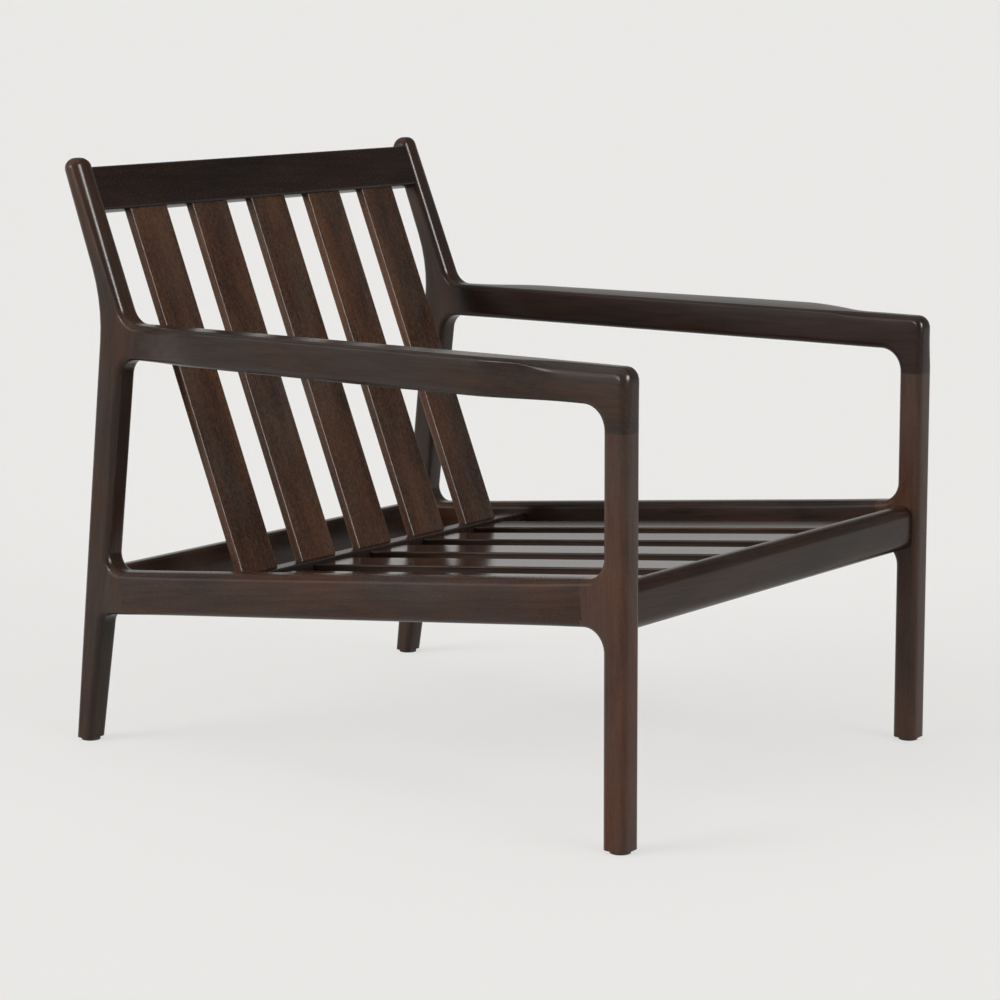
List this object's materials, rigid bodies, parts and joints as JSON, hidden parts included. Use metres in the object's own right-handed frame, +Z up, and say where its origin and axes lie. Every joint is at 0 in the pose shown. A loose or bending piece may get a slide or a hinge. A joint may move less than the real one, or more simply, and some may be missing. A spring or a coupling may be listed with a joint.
{
  "type": "lounge chair frame",
  "caption": "Low wooden lounge chair frame with a raked slatted back, a slatted seat and side frames that run from leg to swelling armrest to back post; made for loose cushions.",
  "frame": {"origin": "on the floor, midway between the outermost points in width and in depth", "axes": "+Z up, the front of the chair faces -Y, +X towards the sitter's left"},
  "size_m": [0.76, 0.8946, 0.7711],
  "materials": {
    "frame_wood": "dark brown stain under satin lacquer",
    "slat_wood": "dark brown stain under satin lacquer",
    "inner_wood": "plain hardwood",
    "glide": "matte black",
    "screw": "zinc plated"
  },
  "bodies": {
    "root": {"right_rear_leg": "frame_wood", "left_rear_leg": "frame_wood", "right_front_leg": "frame_wood", "left_front_leg": "frame_wood", "right_armrest": "frame_wood", "left_armrest": "frame_wood", "right_side_rail": "frame_wood", "left_side_rail": "frame_wood", "front_rail": "frame_wood", "rear_rail": "frame_wood", "top_rail": "frame_wood", "lower_back_rail": "frame_wood", "back_slat_1": "slat_wood", "back_slat_2": "slat_wood", "back_slat_3": "slat_wood", "back_slat_4": "slat_wood", "back_slat_5": "slat_wood", "seat_slat_1": "slat_wood", "seat_slat_2": "slat_wood", "seat_slat_3": "slat_wood", "seat_slat_4": "slat_wood", "seat_slat_5": "slat_wood", "front_cleat": "inner_wood", "rear_cleat": "inner_wood", "arm_rear_tenons": "inner_wood", "arm_front_tenons": "inner_wood", "side_rail_front_tenons": "inner_wood", "side_rail_rear_tenons": "inner_wood", "front_rail_tenons": "inner_wood", "rear_rail_tenons": "inner_wood", "top_rail_tenons": "inner_wood", "lower_rail_tenons": "inner_wood", "right_front_glide": "glide", "left_front_glide": "glide", "right_rear_glide": "glide", "left_rear_glide": "glide", "seat_slat_screws": "screw", "cleat_screws": "screw", "glide_screws": "screw"}
  },
  "joints": []
}
